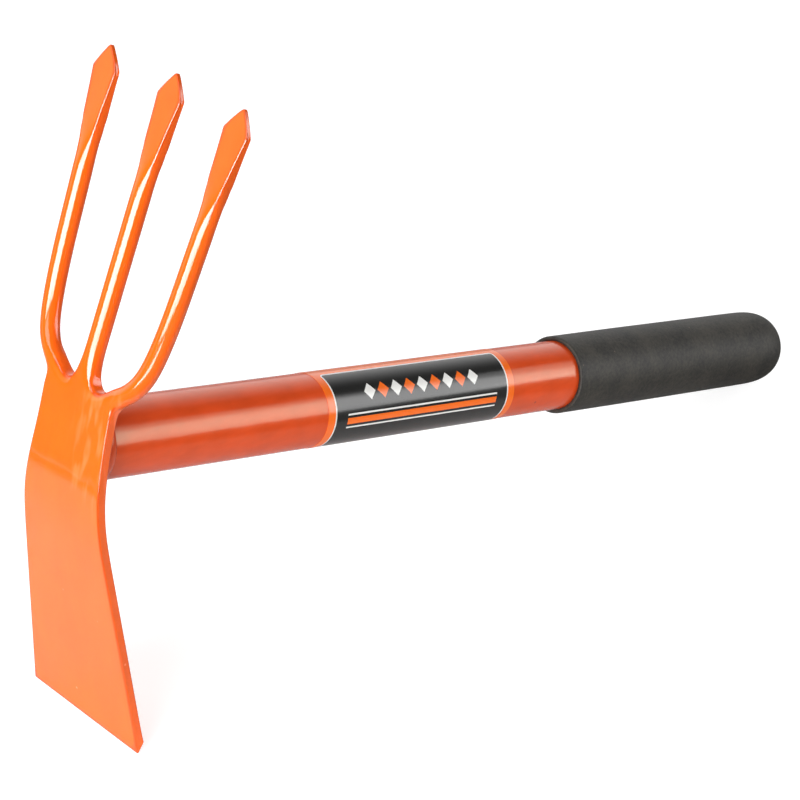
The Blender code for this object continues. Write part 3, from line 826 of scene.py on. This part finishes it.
def tube_mesh(head, handle):
    """Drawn tube with its wall and eased rims."""
    start = tube_start(head, handle)
    end = start + handle.tube_length
    outer = handle.tube_radius
    inner = outer - handle.tube_wall
    profile = [(start, inner), (start, outer - TUBE_EASE), (start + TUBE_EASE, outer),
               (start + 2.0 * TUBE_EASE, outer)]
    profile += [(start + (end - start) * i / TUBE_STEPS, outer) for i in range(1, TUBE_STEPS)]
    profile += [(end - 2.0 * TUBE_EASE, outer), (end - TUBE_EASE, outer), (end, outer - TUBE_EASE),
                (end, inner)]
    return turned_mesh(profile, TUBE_SEGMENTS, True)


def grip_mesh(grip, head, handle):
    """Closed sleeve with a square-cut mouth, a slight swell and a blunt domed end."""
    end = tube_start(head, handle) + handle.tube_length + PLUG_ROOM + grip.end_wall
    mouth = end - grip.length
    bore = handle.tube_radius + TOUCH
    bore_end = end - grip.end_wall
    body = end - grip.dome
    profile = [(bore_end, 0.0), (bore_end, bore)]
    profile += [(mouth + (bore_end - mouth) * (1.0 - i / BORE_STEPS), bore) for i in range(1, BORE_STEPS)]
    profile += [(mouth + MOUTH_DEPTH, bore), (mouth, bore + MOUTH_EASE)]
    for i in range(LIP_STEPS + 1):
        angle = math.radians(90.0) * i / LIP_STEPS
        profile.append((mouth + GRIP_LIP * (1.0 - math.cos(angle)),
                        grip.radius * MOUTH_SHARE - GRIP_LIP * (1.0 - math.sin(angle))))
    for i in range(1, BODY_STEPS):
        share = i / BODY_STEPS
        swell = MOUTH_SHARE + SWELL_SHARE * math.sin(math.pi * min(1.0, share * SWELL_PACE) / SWELL_PACE)
        profile.append((mouth + GRIP_LIP + (body - mouth - GRIP_LIP) * share, grip.radius * swell))
    for i in range(DOME_STEPS + 1):
        angle = math.radians(90.0) * i / DOME_STEPS
        profile.append((body + grip.dome * math.sin(angle) ** (2.0 / DOME_POWER),
                        grip.radius * DOME_SHARE * max(math.cos(angle), 0.0) ** (2.0 / DOME_POWER)))
    return turned_mesh(profile, GRIP_SEGMENTS, False)


# Pieces made by Geometry Nodes

# Steps round the weld's ring and round its section, along and round the film, and how near its layers merge
RING_STEPS = 720
SECTION_STEPS = 20
FILM_STEPS = (24, 181)
FILM_MERGE = 1e-6

# The weld: how wide the bead is for its height, how far it sinks into the tube and lies behind the neck as
# shares of its radius, how high its ripples are as a share of it, how far it wanders, and its noise's seed
BEAD_STRETCH = 2.1
BEAD_SINK = 0.1
BEAD_BACK = 1.6
RIPPLE_HEIGHT = 0.1
WELD_WANDER = 0.5 * MM
WELD_SEED = 3.0

# The film leaves a seam open below, and only its own edges stay sharp
WRAP_ANGLE = math.radians(354.0)
SHARP_ANGLE = math.radians(50.0)


def plain_result(tree, values):
    """Run a node tree on a throwaway object and return the plain mesh."""
    carrier = bpy.data.objects.new("carrier", bpy.data.meshes.new("carrier"))
    bpy.context.scene.collection.objects.link(carrier)
    modifier = carrier.modifiers.new("rule", "NODES")
    modifier.node_group = tree
    for item in tree.interface.items_tree:
        if item.name in values:
            modifier[item.identifier] = values[item.name]
    graph = bpy.context.evaluated_depsgraph_get()
    result = bpy.data.meshes.new_from_object(carrier.evaluated_get(graph))
    carrier.modifiers.remove(modifier)
    bpy.data.objects.remove(carrier, do_unlink=True)
    return result


def new_rule(name, inputs):
    """A geometry tree with named inputs, and its input node."""
    tree = bpy.data.node_groups.new(name, "GeometryNodeTree")
    for label, kind in inputs:
        tree.interface.new_socket(label, in_out="INPUT", socket_type=kind)
    tree.interface.new_socket("Geometry", in_out="OUTPUT", socket_type="NodeSocketGeometry")
    return tree, add(tree, "NodeGroupInput", {}, {})


def end_rule(tree, given, geometry):
    """End a tree in real geometry with its material."""
    whole = add(tree, "GeometryNodeRealizeInstances", {}, {"Geometry": geometry})
    painted = add(tree, "GeometryNodeSetMaterial", {},
                  {"Geometry": whole, "Material": given.outputs["Material"]})
    add(tree, "NodeGroupOutput", {}, {"Geometry": painted})
    return tree


def weld_rule():
    """A bead round a circle whose thickness swells and pinches with each ripple of the weld pool."""
    tree, given = new_rule("Weld bead", [
        ("Ring radius", "NodeSocketFloat"), ("Bead radius", "NodeSocketFloat"), ("Ripples", "NodeSocketInt"),
        ("Ripple height", "NodeSocketFloat"), ("Wander", "NodeSocketFloat"), ("Seed", "NodeSocketFloat"),
        ("Material", "NodeSocketMaterial")])
    ring = add(tree, "GeometryNodeCurvePrimitiveCircle", {},
               {"Resolution": RING_STEPS, "Radius": given.outputs["Ring radius"]})
    upright = add(tree, "GeometryNodeTransform", {},
                  {"Geometry": ring, "Rotation": (0.0, math.radians(90.0), 0.0)})
    # The welder's hand wanders along the tube and lays the bead thick and thin
    place = add(tree, "GeometryNodeInputPosition", {}, {})
    blotch = add(tree, "ShaderNodeTexNoise", {"noise_dimensions": "4D"},
                 {"Vector": place, "W": given.outputs["Seed"], "Scale": 1 / (7.0 * MM), "Detail": 1.0})
    uneven = add(tree, "ShaderNodeMath", {"operation": "SUBTRACT"}, {0: blotch, 1: 0.5})
    drift = add(tree, "ShaderNodeMath", {"operation": "MULTIPLY"}, {0: uneven, 1: given.outputs["Wander"]})
    shift = add(tree, "ShaderNodeCombineXYZ", {}, {"X": drift})
    wandering = add(tree, "GeometryNodeSetPosition", {}, {"Geometry": upright, "Offset": shift})
    along = add(tree, "GeometryNodeSplineParameter", {}, {})
    turns = add(tree, "ShaderNodeMath", {"operation": "MULTIPLY"}, {0: along, 1: given.outputs["Ripples"]})
    phase = add(tree, "ShaderNodeMath", {"operation": "MULTIPLY"}, {0: turns, 1: 2.0 * math.pi})
    wave = add(tree, "ShaderNodeMath", {"operation": "SINE"}, {0: phase})
    rippled = add(tree, "ShaderNodeMath", {"operation": "MULTIPLY_ADD"},
                  {0: wave, 1: given.outputs["Ripple height"], 2: 1.0})
    swelled = add(tree, "ShaderNodeMath", {"operation": "ADD"}, {0: rippled, 1: uneven})
    sized = add(tree, "GeometryNodeSetCurveRadius", {}, {"Curve": wandering, "Radius": swelled})
    section = add(tree, "GeometryNodeCurvePrimitiveCircle", {},
                  {"Resolution": SECTION_STEPS, "Radius": given.outputs["Bead radius"]})
    bead = add(tree, "GeometryNodeCurveToMesh", {}, {"Curve": sized, "Profile Curve": section})
    return end_rule(tree, given, bead)


def label_rule():
    """A film wrapped round the tube: a flat grid in real size is rolled up and given its thickness."""
    tree, given = new_rule("Wrapped film", [
        ("Start", "NodeSocketFloat"), ("Length", "NodeSocketFloat"), ("Radius", "NodeSocketFloat"),
        ("Wrap angle", "NodeSocketFloat"), ("Thickness", "NodeSocketFloat"),
        ("Material", "NodeSocketMaterial")])
    arc = add(tree, "ShaderNodeMath", {"operation": "MULTIPLY"},
              {0: given.outputs["Radius"], 1: given.outputs["Wrap angle"]})
    flat = add(tree, "GeometryNodeMeshGrid", {},
               {"Size X": given.outputs["Length"], "Size Y": arc,
                "Vertices X": FILM_STEPS[0], "Vertices Y": FILM_STEPS[1]})
    place = add(tree, "GeometryNodeInputPosition", {}, {})
    sides = add(tree, "ShaderNodeSeparateXYZ", {}, {"Vector": place})
    along = add(tree, "ShaderNodeMath", {"operation": "MULTIPLY_ADD"},
                {0: given.outputs["Length"], 1: 0.5, 2: sides.outputs["X"]})
    print_at = add(tree, "ShaderNodeCombineXYZ", {}, {"X": along, "Y": sides.outputs["Y"]})
    marked = add(tree, "GeometryNodeStoreNamedAttribute", {"data_type": "FLOAT2", "domain": "CORNER"},
                 {"Geometry": flat, "Name": "print", "Value": print_at})
    x = add(tree, "ShaderNodeMath", {"operation": "ADD"}, {0: along, 1: given.outputs["Start"]})
    angle = add(tree, "ShaderNodeMath", {"operation": "DIVIDE"},
                {0: sides.outputs["Y"], 1: given.outputs["Radius"]})
    rolled_at = add(tree, "ShaderNodeCombineXYZ", {}, {"X": x})
    for axis, operation in (("Y", "SINE"), ("Z", "COSINE")):
        part = add(tree, "ShaderNodeMath", {"operation": operation}, {0: angle})
        reach = add(tree, "ShaderNodeMath", {"operation": "MULTIPLY"},
                    {0: part, 1: given.outputs["Radius"]})
        tree.links.new(reach.outputs[0], rolled_at.inputs[axis])
    rolled = add(tree, "GeometryNodeSetPosition", {}, {"Geometry": marked, "Position": rolled_at})
    raised = add(tree, "GeometryNodeExtrudeMesh", {},
                 {"Mesh": rolled, "Offset Scale": given.outputs["Thickness"], "Individual": False})
    inside = add(tree, "GeometryNodeFlipFaces", {}, {"Mesh": rolled})
    joined = add(tree, "GeometryNodeJoinGeometry", {}, {})
    for layer in (raised, inside):
        tree.links.new(layer.outputs["Mesh"], joined.inputs[0])
    merged = add(tree, "GeometryNodeMergeByDistance", {}, {"Geometry": joined, "Distance": FILM_MERGE})
    return end_rule(tree, given, merged)


# Operators

class CULTIVATOR_OT_head(bpy.types.Operator):
    """Make the forged head with its blade, neck and tines"""
    bl_idname = "cultivator.head"
    bl_label = "Forged head"

    def execute(self, context):
        scene = context.scene
        head = scene.cultivator_head
        mesh = smoothed(head_mesh(head, scene.cultivator_handle))
        add_piece("forged_head", mesh, orange_enamel(head.enamel), ["head"])
        return {"FINISHED"}


class CULTIVATOR_OT_tube(bpy.types.Operator):
    """Make the painted tube and the weld bead that holds the head on it"""
    bl_idname = "cultivator.tube"
    bl_label = "Tube and weld"

    def execute(self, context):
        scene = context.scene
        head = scene.cultivator_head
        handle = scene.cultivator_handle
        coat = tube_coat(handle.tube_paint)
        add_piece("steel_tube", tube_mesh(head, handle), coat, ["handle_tube"])
        thick = handle.bead_radius
        bead = plain_result(weld_rule(), {
            "Ring radius": handle.tube_radius - BEAD_SINK * thick, "Bead radius": thick,
            "Ripples": handle.ripples, "Ripple height": RIPPLE_HEIGHT, "Wander": WELD_WANDER,
            "Seed": WELD_SEED, "Material": coat})
        bead.transform(Matrix.Translation((head.neck_thickness + BEAD_BACK * thick, 0.0, 0.0))
                       @ Matrix.Diagonal((BEAD_STRETCH, 1.0, 1.0, 1.0)))
        add_piece("weld_bead", bead, coat, ["neck_weld"])
        return {"FINISHED"}


class CULTIVATOR_OT_label(bpy.types.Operator):
    """Make the printed film round the tube"""
    bl_idname = "cultivator.label"
    bl_label = "Printed label"

    def execute(self, context):
        scene = context.scene
        label = scene.cultivator_label
        radius = scene.cultivator_handle.tube_radius + TOUCH
        film = printed_film(label, radius)
        mesh = plain_result(label_rule(), {
            "Start": label.start, "Length": label.length, "Radius": radius, "Wrap angle": WRAP_ANGLE,
            "Thickness": label.film, "Material": film})
        piece = add_piece("printed_label", mesh, film, ["tube_label"])
        piece.data.set_sharp_from_angle(angle=SHARP_ANGLE)
        return {"FINISHED"}


class CULTIVATOR_OT_grip(bpy.types.Operator):
    """Make the foam grip and finish the plug under its closed end"""
    bl_idname = "cultivator.grip"
    bl_label = "Foam grip"

    def execute(self, context):
        scene = context.scene
        grip = scene.cultivator_grip
        mesh = grip_mesh(grip, scene.cultivator_head, scene.cultivator_handle)
        piece = add_piece("foam_sleeve", mesh, foam_rubber(grip.foam), ["foam_grip"])
        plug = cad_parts["tube_end_plug"]
        plug.material_slots[0].material = plug_plastic()
        return {"FINISHED"}


# Camera solved from the photograph: place in metres, turn in degrees, lens and sensor in millimetres, shift
# as a share of the picture's width, and how many metres it sees
CAMERA_PLACE = (-0.559739, -0.548886, 0.519833)
CAMERA_TURN = (59.18882, -1.21247, -43.27213)
CAMERA_LENS = 114.733
CAMERA_SENSOR = 36.0
CAMERA_SHIFT = (-0.000625, 0.000625)
CAMERA_REACH = 50.0

# Point by the neck that every light is turned to
AIM = Vector((-0.15, 0.0, 0.14))

# Lights: setting and share of it, width and height, azimuth, elevation and distance, roll, and whether the
# light shows in gloss alone, where it draws a highlight and adds no light of its own; metres and degrees
LIGHTS = {
    "strip_light": ("strip", 1.0, (1.50, 0.50), (197.0, 13.4, 1.4), -4.0, False),
    "low_strip": ("strip", 1.0, (0.70, 0.13), (190.0, -5.0, 1.0), 0.0, False),
    "strip_core": ("strip", 0.3, (1.46, 0.26), (197.5, 13.0, 1.39), -4.0, True),
    "wall_light": ("wall", 1.0, (1.30, 0.62), (-46.0, 9.6, 1.8), 0.0, False),
    "wall_edge": ("wall", 0.35, (0.30, 0.62), (-20.0, 10.2, 1.8), 0.0, False),
    "wall_crown": ("wall", 0.35, (1.30, 0.24), (-46.0, 23.2, 1.8), 0.0, False),
    "wall_foot": ("wall", 1.0, (0.70, 0.07), (-44.0, -4.6, 0.9), 0.0, True),
    "top_light": ("top", 1.0, (1.20, 1.00), (185.0, 44.0, 1.8), 0.0, False),
}

# The paper: how far it is turned, and the sides where it fades into the floor
PAPER_TURN = math.radians(46.0)
PAPER_SIDES = (("X", -0.235, -0.185), ("X", 1.0, 0.7), ("Y", 0.44, 0.37), ("Y", -0.15, -0.09))

# White that the paper shows to the camera over its own shade
PAPER_WHITE = 0.68

# What gloss mirrors of it, as painted reflections on the tool: a painted glow that is full this far back, and
# a painted bright line behind the paper
FAR_GLOW = 0.28
FAR_GLOW_AT = 0.22
LINE_GLOW = 0.8
LINE_AT = 0.49
LINE_HALF = 0.01

# Azimuth of the pale backdrop, and the cosines off it where it begins and is full
BACKDROP_AZIMUTH = math.radians(72.0)
BACKDROP_FADE = (0.15, 0.85)


class CULTIVATOR_OT_stage(bpy.types.Operator):
    """Make the camera, the lights and the white floor"""
    bl_idname = "cultivator.stage"
    bl_label = "Camera, lights and floor"

    def execute(self, context):
        scene = context.scene
        stage = scene.cultivator_stage
        data = bpy.data.cameras.new("photo_view")
        data.lens = CAMERA_LENS
        data.sensor_width = CAMERA_SENSOR
        data.clip_end = CAMERA_REACH
        data.shift_x, data.shift_y = CAMERA_SHIFT
        camera = bpy.data.objects.new("photo_view", data)
        camera.location = CAMERA_PLACE
        camera.rotation_euler = [math.radians(a) for a in CAMERA_TURN]
        scene.collection.objects.link(camera)
        scene.camera = camera
        scene.view_settings.view_transform = "Standard"
        make_floor(scene, stage)
        make_air(scene, stage)
        for name, (setting, share, size, direction, roll, in_gloss_alone) in LIGHTS.items():
            lamp = aim_light(scene, name, share * getattr(stage, setting), size, direction, roll)
            lamp.visible_diffuse = not in_gloss_alone
        return {"FINISHED"}


def aim_light(scene, name, radiance, size, direction, roll):
    """A flat light turned to the neck, by azimuth and elevation in degrees, distance and roll."""
    azimuth, elevation, distance = direction
    data = bpy.data.lights.new(name, "AREA")
    data.shape = "RECTANGLE"
    data.size, data.size_y = size
    data.energy = radiance * math.pi * size[0] * size[1]
    lamp = bpy.data.objects.new(name, data)
    turn = Matrix.Rotation(math.radians(azimuth), 4, "Z") @ Matrix.Rotation(math.radians(-elevation), 4, "Y")
    face = Matrix.Rotation(math.radians(90.0), 4, "Z") @ Matrix.Rotation(math.radians(90.0), 4, "X")
    lamp.matrix_world = (Matrix.Translation(AIM) @ turn @ Matrix.Translation((distance, 0.0, 0.0))
                         @ Matrix.Rotation(math.radians(roll), 4, "X") @ face)
    scene.collection.objects.link(lamp)
    return lamp


def paper_on_floor(stage):
    """Uncoated white paper on a pale floor, which shows white and still keeps the tool's soft shadow, and
    glows in gloss alone to paint reflections on the tool.
    """
    material, tree, shader = new_material("paper_on_floor")
    shader.inputs["Roughness"].default_value = 0.9
    shader.inputs["Specular IOR Level"].default_value = 0.0
    place = add(tree, "ShaderNodeTexCoord", {}, {}).outputs["Object"]
    turned = add(tree, "ShaderNodeMapping", {"vector_type": "TEXTURE"},
                 {"Vector": place, "Rotation": (0.0, 0.0, PAPER_TURN)})
    sides = add(tree, "ShaderNodeSeparateXYZ", {}, {"Vector": turned})
    inside = fade(tree, sides, PAPER_SIDES)
    past = add(tree, "ShaderNodeMath", {"operation": "SUBTRACT"}, {0: 1.0, 1: inside})
    tone = add(tree, "ShaderNodeMix", {"data_type": "RGBA"},
               {0: past, 6: (*stage.paper, 1.0), 7: (*stage.beyond, 1.0)})
    tree.links.new(tone.outputs[2], shader.inputs["Base Color"])
    path = add(tree, "ShaderNodeLightPath", {}, {})
    mirrored = add(tree, "ShaderNodeMath", {"operation": "MAXIMUM"},
                   {0: path.outputs["Is Glossy Ray"], 1: path.outputs["Is Transmission Ray"]})
    # A glow seen only in gloss: painted reflections of a brighter far paper and of a bright line
    far = add(tree, "ShaderNodeMapRange", {"interpolation_type": "SMOOTHSTEP"},
              {"Value": sides.outputs["Y"], "From Min": 0.0, "From Max": FAR_GLOW_AT, "To Min": 0.0,
               "To Max": FAR_GLOW})
    painted_far_glow = add(tree, "ShaderNodeMath", {"operation": "MULTIPLY"}, {0: inside, 1: far})
    line = add(tree, "ShaderNodeMath", {"operation": "COMPARE"},
               {0: sides.outputs["Y"], 1: LINE_AT, 2: LINE_HALF})
    bright = add(tree, "ShaderNodeMath", {"operation": "MULTIPLY_ADD"}, {0: line, 1: LINE_GLOW, 2: painted_far_glow})
    pale = add(tree, "ShaderNodeMapRange", {}, {"Value": past, "To Min": PAPER_WHITE, "To Max": 1.0})
    in_gloss = add(tree, "ShaderNodeMath", {"operation": "MULTIPLY"}, {0: mirrored, 1: bright})
    in_view = add(tree, "ShaderNodeMath", {"operation": "MULTIPLY"},
                  {0: path.outputs["Is Camera Ray"], 1: pale})
    glow = add(tree, "ShaderNodeMath", {"operation": "MAXIMUM"}, {0: in_gloss, 1: in_view})
    white = add(tree, "ShaderNodeEmission", {}, {"Strength": glow})
    both = add(tree, "ShaderNodeAddShader", {}, {0: shader, 1: white})
    tree.links.new(both.outputs[0], tree.nodes["Material Output"].inputs["Surface"])
    return material


def make_floor(scene, stage):
    """A flat floor under the blade's edge and the end of the grip."""
    bm = bmesh.new()
    bmesh.ops.create_grid(bm, x_segments=1, y_segments=1, size=stage.floor_size / 2.0)
    mesh = bpy.data.meshes.new("floor")
    bm.to_mesh(mesh)
    bm.free()
    mesh.materials.append(paper_on_floor(stage))
    floor = bpy.data.objects.new("floor", mesh)
    scene.collection.objects.link(floor)


def make_air(scene, stage):
    """Soft light from all round, brighter from the pale backdrop behind the tool than from the room."""
    world = bpy.data.worlds.new("studio_air")
    world.use_nodes = True
    scene.world = world
    tree = world.node_tree
    tree.nodes.clear()
    way = add(tree, "ShaderNodeTexCoord", {}, {}).outputs["Generated"]
    backdrop = (math.cos(BACKDROP_AZIMUTH), math.sin(BACKDROP_AZIMUTH), 0.0)
    behind = add(tree, "ShaderNodeVectorMath", {"operation": "DOT_PRODUCT"}, {0: way, 1: backdrop})
    level = add(tree, "ShaderNodeMapRange", {"interpolation_type": "SMOOTHSTEP"},
                {"Value": behind.outputs["Value"], "From Min": BACKDROP_FADE[0],
                 "From Max": BACKDROP_FADE[1], "To Min": stage.dim, "To Max": stage.bright})
    path = add(tree, "ShaderNodeLightPath", {}, {})
    shown = add(tree, "ShaderNodeMath", {"operation": "MAXIMUM"},
                {0: level, 1: path.outputs["Is Camera Ray"]})
    air = add(tree, "ShaderNodeBackground", {}, {"Color": (1.0, 1.0, 1.0, 1.0), "Strength": shown})
    add(tree, "ShaderNodeOutputWorld", {}, {"Surface": air})


# Panel and start

class CULTIVATOR_PT_panel(bpy.types.Panel):
    """Buttons for the cultivator's pieces"""
    bl_idname = "CULTIVATOR_PT_panel"
    bl_label = "Cultivator"
    bl_space_type = "VIEW_3D"
    bl_region_type = "UI"
    bl_category = "Cultivator"

    def draw(self, context):
        for step in STEPS:
            self.layout.operator(step.bl_idname)
        for group in GROUPS:
            box = self.layout.box()
            settings = getattr(context.scene, group)
            for name in settings.bl_rna.properties.keys():
                if name not in ("rna_type", "name"):
                    box.prop(settings, name)


STEPS = (CULTIVATOR_OT_stage, CULTIVATOR_OT_head, CULTIVATOR_OT_tube, CULTIVATOR_OT_label, CULTIVATOR_OT_grip)
GROUPS = {"cultivator_head": HeadSettings, "cultivator_handle": HandleSettings,
          "cultivator_label": LabelSettings, "cultivator_grip": GripSettings,
          "cultivator_stage": StageSettings}


def register():
    for name, group in GROUPS.items():
        bpy.utils.register_class(group)
        setattr(bpy.types.Scene, name, bpy.props.PointerProperty(type=group))
    for item in (*STEPS, CULTIVATOR_PT_panel):
        bpy.utils.register_class(item)


def unregister():
    for item in (CULTIVATOR_PT_panel, *reversed(STEPS)):
        bpy.utils.unregister_class(item)
    for name, group in GROUPS.items():
        delattr(bpy.types.Scene, name)
        bpy.utils.unregister_class(group)


def main():
    """Make everything."""
    register()
    bpy.ops.cultivator.stage()
    bpy.ops.cultivator.head()
    bpy.ops.cultivator.tube()
    bpy.ops.cultivator.label()
    bpy.ops.cultivator.grip()


if __name__ == "__main__":
    main()
